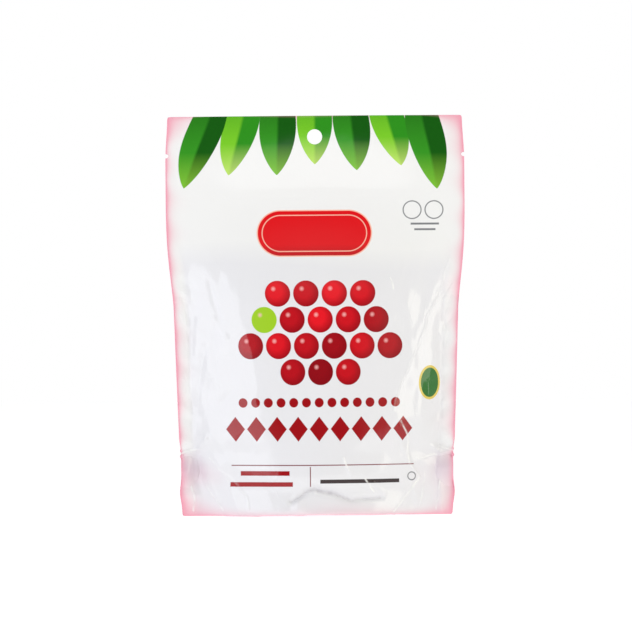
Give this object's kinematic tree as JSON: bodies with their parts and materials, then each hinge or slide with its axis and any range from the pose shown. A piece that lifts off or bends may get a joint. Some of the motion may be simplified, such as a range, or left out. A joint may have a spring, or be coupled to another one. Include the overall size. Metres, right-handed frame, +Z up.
{
  "type": "stand-up food pouch",
  "caption": "Filled, sealed stand-up food pouch of glossy white film, with a full belly, an opened bottom gusset, a flat header with a hang hole, and tear notches.",
  "frame": {"origin": "floor level, under the middle of the pouch", "axes": "+Z up along the pouch's height, +X to the right across its front, and the printed front faces -Y"},
  "size_m": [0.1802, 0.064, 0.2406],
  "materials": {
    "film": "glossy printed laminate film, white with a pink edge"
  },
  "bodies": {
    "root": {"pouch": "film"}
  },
  "joints": []
}
